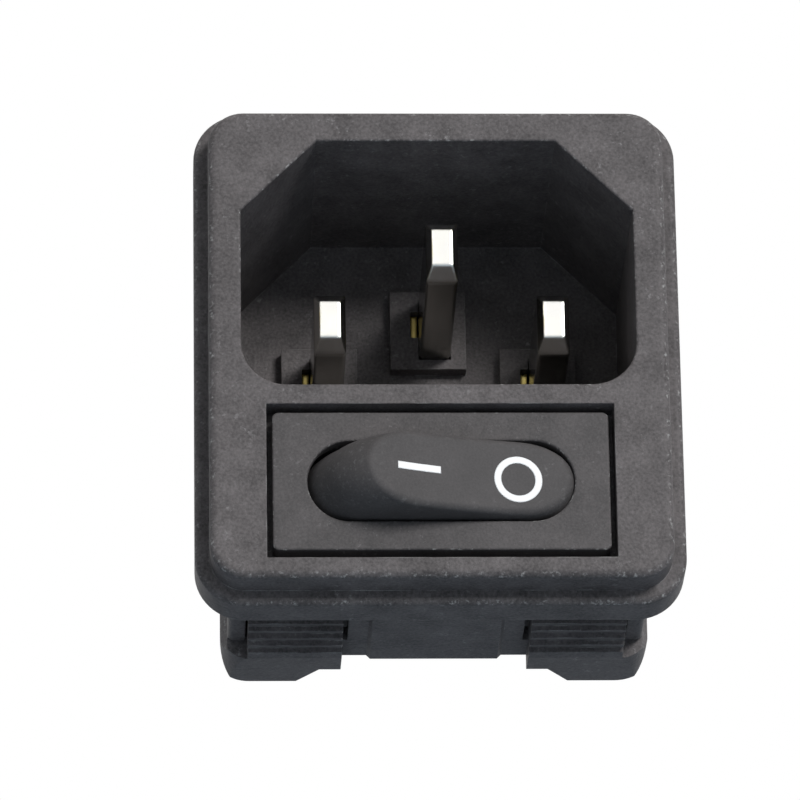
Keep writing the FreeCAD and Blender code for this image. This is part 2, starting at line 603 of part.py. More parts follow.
def tongue_pair(body, side, word, inner, width):
    """Two snap tongues: ribs, catch and lead-in nose, with the cuts that let them flex."""
    outer = f"({inner} + {width})"
    edge = f"({BARREL_WIDTH} / 2)"
    sketch = make_sketch(body, f"{word}_ribs_outline", "YZ_Plane", inner)
    outline(sketch, tongue_profile(side))
    ribs = pad(body, f"{word}_ribs", sketch, width)

    # The nose's outer corner stands past the barrel's end and side.
    far = f"({edge} + swell_rise)"
    start = "(slot_end + corner_groove)"
    crest = f"(rib_first + {RIB_COUNT} * rib_pitch + catch_flat)"
    fall = f"((catch_rise - nose_rise) * ({start} - {crest}) / (nose_end - {crest}))"
    sketch = make_sketch(body, f"{word}_corner_outline", "YZ_Plane", outer)
    outline(
        sketch,
        [
            (start, f"{side}({BARREL_TOP} - barrel_wall)"),
            (start, f"{side}({BARREL_TOP} + catch_rise - {fall})"),
            ("nose_end", f"{side}({BARREL_TOP} + nose_rise)"),
            ("nose_end", f"{side}({BARREL_TOP} - barrel_wall / 2)"),
            ("barrel_depth", f"{side}({BARREL_TOP} - barrel_wall)"),
        ],
    )
    corner = pad(body, f"{word}_corner", sketch, f"({far} - {outer})")
    sketch = make_sketch(body, f"{word}_swell_outline", "YZ_Plane", f"{edge} - barrel_wall / 2")
    rectangle(
        sketch,
        start,
        "barrel_depth",
        f"{side}({BARREL_TOP} - swell_height)",
        f"{side}({BARREL_TOP} - barrel_corner)",
    )
    swell = pad(body, f"{word}_swell", sketch, "swell_rise + barrel_wall / 2")

    # Rounding along its outer edge, then its slanted side and rounded rear, seen from above
    sketch = make_sketch(body, f"{word}_edge_outline", "XZ_Plane", f"-{start} + overcut")
    tip = f"({BARREL_TOP} + catch_rise)"
    arc = quarter(f"{far} - nose_edge", "nose_edge", f"{tip} - nose_edge", "nose_edge")
    away = [(f"{far} - nose_edge", f"{tip} + overcut"), (f"{far} + overcut", f"{tip} + overcut")]
    loop = [*arc, *away, (f"{far} + overcut", f"{tip} - nose_edge")]
    outline(sketch, [(across, f"{side}({up})") for across, up in loop])
    edging = pocket(body, f"{word}_edge", sketch, "nose_end")
    level = f"({BARREL_TOP} + catch_rise)" if side == "" else f"(-{BARREL_TOP} + swell_height)"
    sketch = make_sketch(body, f"{word}_round_outline", "XY_Plane", level)
    arc = quarter(f"{far} - nose_corner", "nose_corner", "nose_end - nose_bend", "nose_bend")
    past = "(nose_end + overcut)"
    away = [(f"{far} - nose_corner", past), (f"{far} + overcut", past), (f"{far} + overcut", start)]
    outline(sketch, [(edge, start), *arc, *away])
    bend = pocket(body, f"{word}_round", sketch, "catch_rise + swell_height")
    level = f"({BARREL_TOP} + catch_rise)" if side == "" else f"(-{BARREL_TOP} + barrel_wall)"
    sketch = make_sketch(body, f"{word}_rear_cut_outline", "XY_Plane", level)
    outline(
        sketch,
        [
            (f"{inner} - barrel_wall", "nose_short"),
            (f"{inner} + nose_step_in * {width} / tongue_width", "nose_short"),
            (f"{inner} + nose_step_out * {width} / tongue_width", "nose_end"),
            (f"{inner} + nose_step_out * {width} / tongue_width", past),
            (f"{inner} - barrel_wall", past),
        ],
    )
    rear = pocket(body, f"{word}_rear_cut", sketch, "catch_rise + barrel_wall")

    sketch = make_sketch(body, f"{word}_groove_outline", "YZ_Plane", outer)
    rectangle(
        sketch,
        "slot_end",
        "slot_end + corner_groove",
        f"{side}{BARREL_TOP} - corner_groove",
        f"{side}{BARREL_TOP} + corner_groove",
    )
    groove = pocket(body, f"{word}_groove", sketch, f"{edge} - {outer} + barrel_wall", reverse=True)

    sketch = make_sketch(body, f"{word}_cuts_outline", "XY_Plane", level)
    outline(
        sketch,
        [
            (f"{inner} - slot_gap", "slot_start"),
            (f"{outer} + outer_gap", "slot_start"),
            (f"{outer} + outer_gap", "slot_end"),
            (outer, "slot_end"),
            (outer, "slot_start + slot_gap"),
            (inner, "slot_start + slot_gap"),
            (inner, "slot_end"),
            (f"{inner} - slot_gap", "slot_end"),
        ],
    )
    cuts = pocket(body, f"{word}_cuts", sketch, "catch_rise + barrel_wall")
    mirror(body, f"{word}_tongues", "YZ_Plane", [ribs, corner, swell, edging, bend, rear, groove, cuts])


def inlet_housing():
    body = make_body("inlet_housing")
    bezel(body)
    barrel(body)
    hollows(body)
    floor_details(body)
    tongue_pair(body, "-", "lower", "tongue_inner", "tongue_width")
    upper_inner = "(tongue_inner + tongue_width - upper_tongue_width)"
    tongue_pair(body, "", "upper", upper_inner, "upper_tongue_width")
    return body


# Pins and their tabs


def taper_tip(body, name, plane, half, inset, tip):
    """Cuts two opposite faces of a bar down to a smaller flat at its front end."""
    sketch = make_sketch(body, name + "_outline", plane)
    for side in ("", "-"):
        corners = [
            (f"{side}({half} - {inset})", f"-{tip}"),
            (f"{side}({half} + {inset})", f"-{tip}"),
            (f"{side}({half} + {inset})", f"-{tip} + 2 * tip_length"),
        ]
        outline(sketch, corners if plane == "XY_Plane" else [(along, across) for across, along in corners])
    pocket(body, name, sketch, "2 * pin_width", both_ways=True)


def pin(name, across, up, setback):
    """Bar with a tapered tip; its tail is staked over the tab."""
    body = make_body(name)
    tip = f"({FRONT} - {setback})"
    sketch = centred(make_sketch(body, name + "_section", "XZ_Plane", tip), "pin_thickness", "pin_width")
    shoulder = f"({FLOOR_BACK} - pin_web)"
    pad(body, name + "_bar", sketch, f"{tip} + {shoulder}", reverse=True)
    fillet(body, name + "_long_edges", lambda e: runs_along(e, 1), "pin_edge")
    taper_tip(body, name + "_tip_sides", "XY_Plane", "(pin_thickness / 2)", "tip_side", tip)
    taper_tip(body, name + "_tip_ends", "YZ_Plane", "(pin_width / 2)", "tip_end", tip)
    sketch = circle(make_sketch(body, name + "_tail_outline", "XZ_Plane", f"-{shoulder}"), "tail_diameter")
    pad(body, name + "_tail", sketch, "pin_web + tab_thickness + stake_height / 2", reverse=True)
    head = f"({FLOOR_BACK} + tab_thickness)"
    sketch = circle(make_sketch(body, name + "_head_outline", "XZ_Plane", f"-{head}"), "stake_diameter")
    pad(body, name + "_head", sketch, "stake_height", reverse=True)
    rear = value(f"{head} + stake_height")
    chamfer(body, name + "_head_edge", lambda e: lies_at_y(e, rear), "stake_height / 2")
    place(body, across, "0", up)
    return body


def pin_tab(name, across, up):
    """L-shaped tab: foot on the floor's back, tang in the floor's bay, upright for a push-on receptacle."""
    body = make_body(name)
    back = FLOOR_BACK
    left = "(-tab_foot_left)"
    sketch = make_sketch(body, name + "_profile", "XY_Plane")
    outline(
        sketch,
        [
            (left, back),
            ("tab_foot_right", back),
            ("tab_foot_right", f"{back} + tab_thickness"),
            (f"{left} + tab_thickness", f"{back} + tab_thickness"),
            (f"{left} + tab_thickness", f"{back} + tab_length"),
            (left, f"{back} + tab_length"),
        ],
    )
    pad(body, name + "_strip", sketch, "tab_width", both_ways=True)
    sketch = make_sketch(body, name + "_tang_outline", "XZ_Plane", f"-{back} - tab_thickness / 2")
    tang_left = "(-window_left - pin_shift + pin_fit)"
    rectangle(
        sketch,
        tang_left,
        f"{tang_left} + tang_width",
        "window_rise - window_height / 2 + pin_fit",
        "window_rise + window_height / 2 - pin_fit",
    )
    pad(body, name + "_tang", sketch, "tab_thickness / 2 + cup_floor + boss_rise - tang_setback")
    outer_x = value(left)
    outer_y = value(back)

    def bend_inside(edge):
        spot = edge.CenterOfMass
        thick = value("tab_thickness")
        return runs_along(edge, 2) and near(spot.x, outer_x + thick) and near(spot.y, outer_y + thick)

    def bend_outside(edge):
        spot = edge.CenterOfMass
        return runs_along(edge, 2) and near(spot.x, outer_x) and near(spot.y, outer_y)

    fillet(body, name + "_bend_inside", bend_inside, "tab_bend")
    fillet(body, name + "_bend_outside", bend_outside, "tab_bend + tab_thickness")
    end = value(f"{back} + tab_length")
    chamfer(body, name + "_end", lambda e: runs_along(e, 0) and near(e.CenterOfMass.y, end), "tab_tip")
    sketch = make_sketch(body, name + "_rivet_hole_outline", "XZ_Plane", f"-{back}")
    circle(sketch, "tail_diameter + 2 * pin_fit")
    pocket(body, name + "_rivet_hole", sketch, "tab_thickness * 2")
    sketch = make_sketch(body, name + "_latch_hole_outline", "YZ_Plane", left)
    circle(sketch, "tab_hole", f"{back} + tab_length - tab_hole_back", "0")
    pocket(body, name + "_latch_hole", sketch, "tab_thickness * 2", reverse=True)
    place(body, across, "0", up)
    return body


# Switch. Each piece is drawn about the rocker's pivot and moved there.


def seat_switch_piece(body, turn="0"):
    place(body, "0", PIVOT_Y, SWITCH_HEIGHT, turn)


def switch_frame():
    body = make_body("switch_frame")
    plate_rear = "(pivot_behind - plate_thickness)"
    sketch = make_sketch(body, "plate_outline", "XZ_Plane", plate_rear)
    pad(body, "plate", rounded(sketch, "plate_width", "plate_height", "plate_corner"), "plate_thickness")
    front = -value("pivot_behind")
    fillet(body, "plate_front_edge", lambda e: lies_at_y(e, front), "plate_edge")
    sketch = centred(make_sketch(body, "walls_outline", "XZ_Plane", plate_rear), "walls_width", "walls_height")
    pad(body, "walls", sketch, f"{plate_rear} + {FRAME_BACK}", reverse=True)
    sketch = make_sketch(body, "hook_outline", "XY_Plane")
    catch = f"({LEDGE_BACK} + {PIVOT_Y} - hook_play)"
    outline(
        sketch,
        [
            ("walls_width / 2 - side_skin / 2", f"-{catch}"),
            ("walls_width / 2 + hook_rise", f"-{catch}"),
            ("walls_width / 2 + hook_rise", f"-{catch} + hook_rise"),
            ("walls_width / 2", f"-{catch} + hook_length"),
            ("walls_width / 2 - side_skin / 2", f"-{catch} + hook_length"),
        ],
    )
    hook = pad(body, "hook", sketch, "hook_width", both_ways=True)
    mirror(body, "hooks", "YZ_Plane", [hook])

    # Inside of the walls, then the opening, then the round relief that the rocker's ends swing in
    sketch = make_sketch(body, "well_outline", "XZ_Plane", f"-{FRAME_BACK}")
    centred(sketch, "(walls_width - 2 * side_skin)", "(walls_height - 2 * ear_skin)")
    pocket(body, "well", sketch, f"{FRAME_BACK} + {plate_rear}", reverse=True)
    sketch = make_sketch(body, "opening_outline", "XZ_Plane", "pivot_behind")
    round_ended(sketch, "opening_length", "opening_height")
    pocket(body, "opening", sketch, "2 * plate_thickness")
    half = value("opening_height / 2")
    long_half = value("opening_length / 2")

    def opening_rim(edge):
        spot = edge.BoundBox
        within = spot.ZMax < half + SLACK and spot.ZMin > -half - SLACK
        return lies_at_y(edge, front) and within and spot.XMax < long_half + SLACK and spot.XMin > -long_half - SLACK

    fillet(body, "opening_edge", opening_rim, "plate_edge")
    sketch = make_sketch(body, "relief_outline", "XZ_Plane")
    disc_profile(sketch, "(rocker_radius + rocker_play)", "opening_height")
    revolve(body, "relief", sketch, "V_Axis", "PartDesign::Groove")
    sketch = circle(make_sketch(body, "pivot_outline", "XY_Plane"), "(trunnion_diameter + 2 * trunnion_fit)")
    pocket(body, "pivot_holes", sketch, "walls_height", both_ways=True)
    sketch = make_sketch(body, "pivot_slot_outline", "XY_Plane")
    rectangle(sketch, "-post_width / 2 - post_play", "post_width / 2 + post_play", "0", f"{FRAME_BACK} + overcut")
    pocket(body, "pivot_slots", sketch, "walls_height", both_ways=True)
    seat_switch_piece(body)
    return body


def disc_profile(sketch, radius, thickness):
    """Half section of a disc with a full round rim, to be turned about the upright axis."""
    bend = f"({radius} - {thickness} / 2)"
    far = value(bend)
    half = value(thickness) / 2
    rim = Part.ArcOfCircle(Part.Circle(Vector(far, 0, 0), Vector(0, 0, 1), half), -QUARTER, QUARTER)
    arc = sketch.addGeometry(rim, False)
    top = sketch.addGeometry(Part.LineSegment(Vector(far, half, 0), Vector(0, half, 0)), False)
    axis = sketch.addGeometry(Part.LineSegment(Vector(0, half, 0), Vector(0, -half, 0)), False)
    low = sketch.addGeometry(Part.LineSegment(Vector(0, -half, 0), Vector(far, -half, 0)), False)
    sketch.addConstraint(Sketcher.Constraint("Tangent", arc, 2, top, 1))
    sketch.addConstraint(Sketcher.Constraint("Coincident", top, 2, axis, 1))
    sketch.addConstraint(Sketcher.Constraint("Coincident", axis, 2, low, 1))
    sketch.addConstraint(Sketcher.Constraint("Tangent", low, 2, arc, 1))
    fix_point(sketch, axis, 1, ("0", f"{thickness} / 2"))
    fix_point(sketch, axis, 2, ("0", f"-{thickness} / 2"))
    fix_point(sketch, arc, 3, (bend, "0"))
    return sketch


def rocker():
    """A slice of a round-rimmed disc about the pivot, with a hollow face, hollow behind."""
    body = make_body("rocker")
    sketch = disc_profile(make_sketch(body, "disc_section", "XZ_Plane"), "rocker_radius", "rocker_thickness")
    revolve(body, "disc", sketch, "V_Axis")

    # Everything in front of the hollow face and behind the skirt comes off.
    sketch = make_sketch(body, "face_outline", "XY_Plane")
    cut = "(rocker_radius + overcut)"
    far = "(-2 * rocker_radius)"
    lean = math.asin(value(f"{cut} / face_curve"))
    bend = Part.Circle(Vector(0, -value("face_height + face_curve"), 0), Vector(0, 0, 1), value("face_curve"))
    arc = sketch.addGeometry(Part.ArcOfCircle(bend, math.pi / 2 - lean, math.pi / 2 + lean), False)
    corners = [
        sketch.Geometry[arc].StartPoint,
        Vector(value(cut), value(far), 0),
        Vector(-value(cut), value(far), 0),
        sketch.Geometry[arc].EndPoint,
    ]
    for start, end in zip(corners, corners[1:]):
        sketch.addGeometry(Part.LineSegment(start, end), False)
    fix_point(sketch, arc, 3, ("0", "-face_height - face_curve"))
    fix_point(sketch, arc, 1, (cut, None))
    fix_point(sketch, arc, 2, (f"-{cut}", None))
    size = sketch.addConstraint(Sketcher.Constraint("Radius", arc, value("face_curve")))
    sketch.setExpression(f"Constraints[{size}]", bound("face_curve"))
    fix_point(sketch, 1, 2, (cut, far))
    fix_point(sketch, 2, 2, (f"-{cut}", far))
    for one, end, other in ((arc, 1, 1), (1, 2, 2), (2, 2, 3)):
        sketch.addConstraint(Sketcher.Constraint("Coincident", one, end, other, 1))
    sketch.addConstraint(Sketcher.Constraint("Coincident", 3, 2, arc, 2))
    pocket(body, "face", sketch, "2 * rocker_thickness", both_ways=True)

    sketch = make_sketch(body, "skirt_outline", "XY_Plane")
    outline(
        sketch,
        [
            ("-rocker_radius - overcut", "-skirt_depth"),
            ("-rocker_radius", "-skirt_depth"),
            ("-boss_half - rocker_wall", "boss_behind"),
            ("boss_half + rocker_wall", "boss_behind"),
            ("rocker_radius", "-skirt_depth"),
            ("rocker_radius + overcut", "-skirt_depth"),
            ("rocker_radius + overcut", "rocker_radius + overcut"),
            ("-rocker_radius - overcut", "rocker_radius + overcut"),
        ],
    )
    pocket(body, "skirt", sketch, "2 * rocker_thickness", both_ways=True)

    def face_rim(edge):
        spot = edge.CenterOfMass
        ahead = spot.y < -value("face_height") * 0.9
        return ahead and edge.BoundBox.YMax < -value("face_height") * 0.7

    fillet(body, "face_rim", face_rim, "face_edge")

    # Hollow behind the face, on each side of the plunger's boss, with chords along the round end
    inner = "(rocker_radius - 1.5 * rocker_wall)"
    sketch = make_sketch(body, "hollow_outline", "XY_Plane")
    outline(
        sketch,
        [
            ("boss_half", "-face_height + rocker_wall"),
            (f"{inner} * sin(33deg)", "-face_height + 0.7 * rocker_wall"),
            (f"{inner} * cos(40deg)", f"-{inner} * sin(40deg)"),
            (f"{inner} * cos(20deg)", f"-{inner} * sin(20deg)"),
            (inner, "0"),
            (inner, "boss_behind + overcut"),
            ("boss_half", "boss_behind + overcut"),
        ],
    )
    half = pocket(body, "hollow", sketch, "(rocker_thickness - 2 * rocker_wall)", both_ways=True)
    mirror(body, "hollows", "YZ_Plane", [half])
    sketch = circle(make_sketch(body, "trunnion_outline", "XY_Plane"), "trunnion_diameter")
    pad(body, "trunnions", sketch, "rocker_thickness + 2 * trunnion_length", both_ways=True)
    sketch = circle(make_sketch(body, "bore_outline", "XZ_Plane", "-boss_behind"), "bore_diameter")
    pocket(body, "bore", sketch, "boss_behind + bore_depth", reverse=True)
    seat_switch_piece(body, "off_tilt")
    return body


def turned(body, name, points):
    """A round piece about the Y axis, from its half section as (radius, along)."""
    sketch = make_sketch(body, name + "_section", "XY_Plane")
    outline(sketch, points)
    revolve(body, name + "_turned", sketch, "V_Axis")


def plunger():
    body = make_body("plunger")
    radius = "(plunger_diameter / 2)"
    turned(
        body,
        "plunger",
        [
            ("0", "-plunger_top - spigot_length"),
            ("spigot_diameter / 2", "-plunger_top - spigot_length"),
            ("spigot_diameter / 2", "-plunger_top"),
            (radius, "-plunger_top"),
            (radius, "plunger_reach"),
            ("0", "plunger_reach"),
        ],
    )
    tip = value("plunger_reach")
    fillet(body, "plunger_tip", lambda e: lies_at_y(e, tip), f"{radius} - spring_play")
    seat_switch_piece(body, "off_tilt")
    return body


def plunger_spring():
    """Coil spring between the bore's end and the plunger's shoulder."""
    body = make_body("plunger_spring")
    sketch = make_sketch(body, "wire_section", "XY_Plane")
    start = "(-bore_depth + spring_wire / 2 + spring_play)"
    circle(sketch, "spring_wire", "spring_mean", start)
    coil = body.newObject("PartDesign::AdditiveHelix", "coil")
    coil.Profile = sketch
    coil.ReferenceAxis = (sketch, ["V_Axis"])
    coil.Mode = "height-turns-growth"
    coil.setExpression("Height", bound("bore_depth - plunger_top - spring_wire - 3 * spring_play"))
    coil.setExpression("Turns", bound("spring_turns"))
    sketch.Visibility = False
    seat_switch_piece(body, "off_tilt")
    return body


def switch_base():
    body = make_body("switch_base")
    sketch = centred(make_sketch(body, "base_outline", "XZ_Plane", f"-{FRAME_BACK}"), "walls_width", "walls_height")
    pad(body, "block", sketch, "base_depth", reverse=True)
    sketch = make_sketch(body, "room_outline", "XZ_Plane", f"-{FRAME_BACK}")
    centred(sketch, "(walls_width - 2 * side_skin)", "(walls_height - 2 * base_skin)")
    pocket(body, "room", sketch, "base_depth - base_floor")
    sketch = make_sketch(body, "post_outline", "XY_Plane")
    rectangle(
        sketch,
        "-post_width / 2",
        "post_width / 2",
        "trunnion_diameter / 2 + trunnion_fit + post_short",
        f"{FRAME_BACK} + base_skin",
    )
    pad(body, "posts", sketch, "walls_height", both_ways=True)
    sketch = make_sketch(body, "post_gap_outline", "XY_Plane")
    rectangle(sketch, "-post_width", "post_width", "0", f"{FRAME_BACK} + base_skin + overcut")
    pocket(body, "post_gap", sketch, "(walls_height - 2 * ear_skin + 2 * post_play)", both_ways=True)
    sketch = make_sketch(body, "terminal_slots_outline", "XZ_Plane", f"-{BASE_BACK} + base_floor + overcut")
    wide = "(2 * knife_half + 2 * terminal_fit)"
    tall = "(tab_width + 2 * terminal_fit)"
    centred(sketch, wide, tall)
    centred(sketch, wide, tall, "shelf_right - knife_half")
    pocket(body, "terminal_slots", sketch, "base_floor + 2 * overcut")
    seat_switch_piece(body)
    return body


def finish_switch_tab(body, name, middle):
    """Cut corners and latch hole at the end of a switch terminal."""
    end = value("blade_end")
    chamfer(body, name + "_end", lambda e: runs_along(e, 0) and near(e.CenterOfMass.y, end), "tab_tip")
    sketch = make_sketch(body, name + "_latch_hole_outline", "YZ_Plane", middle)
    circle(sketch, "tab_hole", "blade_end - tab_hole_back", "0")
    pocket(body, name + "_latch_hole", sketch, "4 * knife_half", both_ways=True)


def common_terminal():
    """Flat blade: its front edge is the knife that carries the lever."""
    body = make_body("common_terminal")
    edge = f"({NOTCH_APEX} + knife_gap)"
    sketch = make_sketch(body, "common_profile", "XY_Plane")
    outline(
        sketch,
        [
            ("0", edge),
            ("knife_half", f"{edge} + knife_slope"),
            ("knife_half", "blade_end"),
            ("-knife_half", "blade_end"),
            ("-knife_half", f"{edge} + knife_slope"),
        ],
    )
    pad(body, "common_blade", sketch, "tab_width", both_ways=True)
    finish_switch_tab(body, "common", "0")
    seat_switch_piece(body)
    return body


# The lever's contact meets the fixed one when the lever has tilted the other way.
CLOSED_FACE = (
    f"({NOTCH_APEX} + ({LEVER_BACK} + contact_height - {NOTCH_APEX}) * cos(lever_tilt * 1deg)"
    " + contact_at * sin(lever_tilt * 1deg))"
)
SHELF_FRONT = f"({CLOSED_FACE} + contact_gap + contact_flat * sin(lever_tilt * 1deg) + contact_height)"


def switched_terminal():
    """Strip with a shelf for the fixed contact, bent back through the base."""
    body = make_body("switched_terminal")
    thick = "(2 * knife_half)"
    sketch = make_sketch(body, "switched_profile", "XY_Plane")
    outline(
        sketch,
        [
            ("shelf_left", SHELF_FRONT),
            ("shelf_right", SHELF_FRONT),
            ("shelf_right", "blade_end"),
            (f"shelf_right - {thick}", "blade_end"),
            (f"shelf_right - {thick}", f"{SHELF_FRONT} + {thick}"),
            ("shelf_left", f"{SHELF_FRONT} + {thick}"),
        ],
    )
    pad(body, "switched_strip", sketch, "tab_width", both_ways=True)
    corner_y = value(SHELF_FRONT)
    corner_x = value("shelf_right")
    fillet(
        body,
        "switched_bend",
        lambda e: runs_along(e, 2) and near(e.CenterOfMass.x, corner_x) and near(e.CenterOfMass.y, corner_y),
        thick,
    )
    finish_switch_tab(body, "switched", "shelf_right - knife_half")
    sketch = make_sketch(body, "contact_hole_outline", "XZ_Plane", f"-{SHELF_FRONT} + overcut")
    circle(sketch, "shank_diameter + 2 * pin_fit", "contact_at", "0")
    pocket(body, "contact_hole", sketch, f"{thick} + 2 * overcut")
    seat_switch_piece(body)
    return body


def contact_rivet(name, face, shank):
    """Rivet with a domed head at -Y and an upset shank at +Y, about its own axis."""
    body = make_body(name)
    turned(
        body,
        name,
        [
            ("0", face),
            ("contact_flat", face),
            ("contact_diameter / 2", f"{face} + contact_height / 2"),
            ("contact_diameter / 2", f"{face} + contact_height"),
            ("shank_diameter / 2", f"{face} + contact_height"),
            ("shank_diameter / 2", f"{face} + contact_height + {shank}"),
            ("upset_diameter / 2", f"{face} + contact_height + {shank}"),
            ("upset_top / 2", f"{face} + contact_height + {shank} + upset_height"),
            ("0", f"{face} + contact_height + {shank} + upset_height"),
        ],
    )
    return body


def fixed_contact():
    face = f"({SHELF_FRONT} - contact_height)"
    body = contact_rivet("fixed_contact", face, "(2 * knife_half)")
    place(body, "contact_at", PIVOT_Y, SWITCH_HEIGHT)
    return body


# The lever and its rivet are drawn level about the notch's apex, then tilted there.


def seat_lever_piece(body):
    place(body, "0", f"{PIVOT_Y} + {NOTCH_APEX}", SWITCH_HEIGHT, "-lever_tilt")


def seesaw_contact():
    """Strip with two cheeks whose notches sit on the knife edge."""
    body = make_body("seesaw_contact")
    front = f"({LEVER_FRONT} - {NOTCH_APEX})"
    back = f"({LEVER_BACK} - {NOTCH_APEX})"
    cheek = f"({front} + cheek_depth)"
    sketch = make_sketch(body, "lever_profile", "XY_Plane")
    outline(
        sketch,
        [
            ("-lever_left", front),
            ("lever_right", front),
            ("lever_right", back),
            ("cheek_length", back),
            ("cheek_length - cheek_slant", cheek),
            ("notch_depth", cheek),
            ("0", "0"),
            ("-notch_depth", cheek),
            ("-cheek_length + cheek_slant", cheek),
            ("-cheek_length", back),
            ("-lever_left", back),
        ],
    )
    pad(body, "lever_strip", sketch, "lever_width", both_ways=True)
    sketch = make_sketch(body, "cheek_gap_outline", "XY_Plane")
    rectangle(sketch, "-cheek_length - overcut", "cheek_length + overcut", back, f"{cheek} + overcut")
    pocket(body, "cheek_gap", sketch, "(lever_width - 2 * lever_thickness)", both_ways=True)
    sketch = make_sketch(body, "lever_hole_outline", "XZ_Plane", f"-{front} + overcut")
    circle(sketch, "shank_diameter + 2 * pin_fit", "contact_at", "0")
    pocket(body, "lever_hole", sketch, "lever_thickness + 2 * overcut")
    seat_lever_piece(body)
    return body


def moving_contact():
    """The lever's rivet faces backwards, so its section is drawn mirrored."""
    body = make_body("moving_contact")
    back = f"({LEVER_BACK} - {NOTCH_APEX})"
    turned(
        body,
        "moving_contact",
        [
            ("0", f"{back} + contact_height"),
            ("contact_flat", f"{back} + contact_height"),
            ("contact_diameter / 2", f"{back} + contact_height / 2"),
            ("contact_diameter / 2", back),
            ("shank_diameter / 2", back),
            ("shank_diameter / 2", f"{back} - lever_thickness"),
            ("upset_diameter / 2", f"{back} - lever_thickness"),
            ("upset_top / 2", f"{back} - lever_thickness - upset_height"),
            ("0", f"{back} - lever_thickness - upset_height"),
        ],
    )
    place(
        body,
        "contact_at * cos(lever_tilt * 1deg)",
        f"{PIVOT_Y} + {NOTCH_APEX} - contact_at * sin(lever_tilt * 1deg)",
        SWITCH_HEIGHT,
        "-lever_tilt",
    )
    return body


LINE = ("-pin_pitch / 2 + pin_shift", PIN_HEIGHT)
NEUTRAL = ("pin_pitch / 2 + pin_shift", PIN_HEIGHT)
EARTH = ("pin_shift", f"{PIN_HEIGHT} + earth_rise")

parts = [
    inlet_housing(),
    pin("line_pin", *LINE, "pin_setback"),
    pin("neutral_pin", *NEUTRAL, "pin_setback"),
    pin("earth_pin", *EARTH, "earth_setback"),
    pin_tab("line_tab", *LINE),
    pin_tab("neutral_tab", *NEUTRAL),
    pin_tab("earth_tab", *EARTH),
    switch_frame(),
    rocker(),
    plunger(),
    plunger_spring(),
    switch_base(),
    common_terminal(),
    switched_terminal(),
    fixed_contact(),
    seesaw_contact(),
    moving_contact(),
]
doc.recompute()

for item in doc.Objects:
    if "Invalid" in item.State or "Error" in item.State:
        raise RuntimeError(f"{item.Label} failed: {item.State}")
for body in parts:
    if body.Shape.isNull() or not body.Shape.isValid():
        raise RuntimeError(f"{body.Label} has no valid shape")

os.makedirs("parts", exist_ok=True)
for body in parts:
    body.Shape.exportStep(f"parts/{body.Label}.step")
    box = body.Shape.BoundBox
    print(f"{body.Label:20s} {len(body.Shape.Solids)} solid, volume {body.Shape.Volume:9.2f} mm3,"
          f" X {box.XMin:.2f} {box.XMax:.2f}, Y {box.YMin:.2f} {box.YMax:.2f}, Z {box.ZMin:.2f} {box.ZMax:.2f}")
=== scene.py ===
import json
import math

import bmesh
import bpy
from mathutils import Matrix, Vector


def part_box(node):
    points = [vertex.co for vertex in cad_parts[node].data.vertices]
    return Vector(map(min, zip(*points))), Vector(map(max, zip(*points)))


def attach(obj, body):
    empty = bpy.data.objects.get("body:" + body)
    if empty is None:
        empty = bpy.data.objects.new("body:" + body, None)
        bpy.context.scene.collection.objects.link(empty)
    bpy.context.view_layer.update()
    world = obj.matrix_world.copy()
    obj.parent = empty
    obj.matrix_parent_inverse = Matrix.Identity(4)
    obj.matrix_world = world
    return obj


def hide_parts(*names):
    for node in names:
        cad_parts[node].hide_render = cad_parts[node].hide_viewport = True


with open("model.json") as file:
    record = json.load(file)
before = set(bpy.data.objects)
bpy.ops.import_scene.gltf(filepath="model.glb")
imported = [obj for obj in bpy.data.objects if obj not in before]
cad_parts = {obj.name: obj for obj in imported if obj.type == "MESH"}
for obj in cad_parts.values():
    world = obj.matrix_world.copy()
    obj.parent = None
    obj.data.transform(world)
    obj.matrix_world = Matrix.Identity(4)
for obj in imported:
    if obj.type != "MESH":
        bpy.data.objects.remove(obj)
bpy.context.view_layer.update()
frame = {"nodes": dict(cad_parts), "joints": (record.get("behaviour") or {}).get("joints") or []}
NODES = frame["nodes"]
MM = 0.001


# Small tools for node trees


def feed(tree, term, slot):
    """Gives an input a plain value, or wires another node's output to it."""
    if isinstance(term, bpy.types.NodeSocket):
        tree.links.new(term, slot)
    else:
        slot.default_value = term


def node(tree, kind, family="ShaderNode", **settings):
    """A new node with its settings; a name that begins with in_ is for the input of that name."""
    made = tree.nodes.new(family + kind)
    for key, setting in settings.items():
        if key.startswith("in_"):
            feed(tree, setting, made.inputs[key[3:].replace("_", " ")])
        else:
            setattr(made, key, setting)
    return made


def socket(tree, name, way, kind, default=None):
    made = tree.interface.new_socket(name=name, in_out=way, socket_type="NodeSocket" + kind)
    if default is not None:
        made.default_value = default


def sums(tree, operation, *terms):
    """The result of a Math node whose terms are numbers or other nodes' outputs."""
    made = node(tree, "Math", operation=operation)
    for slot, term in zip(made.inputs, terms):
        feed(tree, term, slot)
    return made.outputs[0]


def ramp(tree, value, low, high, at_low=0.0, at_high=1.0):
    """A value stretched so that low gives at_low and high gives at_high, and held level past them."""
    made = node(tree, "MapRange")
    for slot, term in zip(made.inputs, (value, low, high, at_low, at_high)):
        feed(tree, term, slot)
    return made.outputs[0]


def mixed(tree, share, first, second, kind="RGBA"):
    """Two colours, or with kind FLOAT two values, mixed by a 0 to 1 share of the second."""
    made = node(tree, "Mix", data_type=kind)
    start, result = (6, 2) if kind == "RGBA" else (2, 0)
    for index, term in ((0, share), (start, first), (start + 1, second)):
        feed(tree, term, made.inputs[index])
    return made.outputs[result]


def noise(tree, place, scale, detail, roughness):
    made = node(tree, "TexNoise", in_Vector=place, in_Scale=scale, in_Detail=detail, in_Roughness=roughness)
    return made.outputs["Fac"]


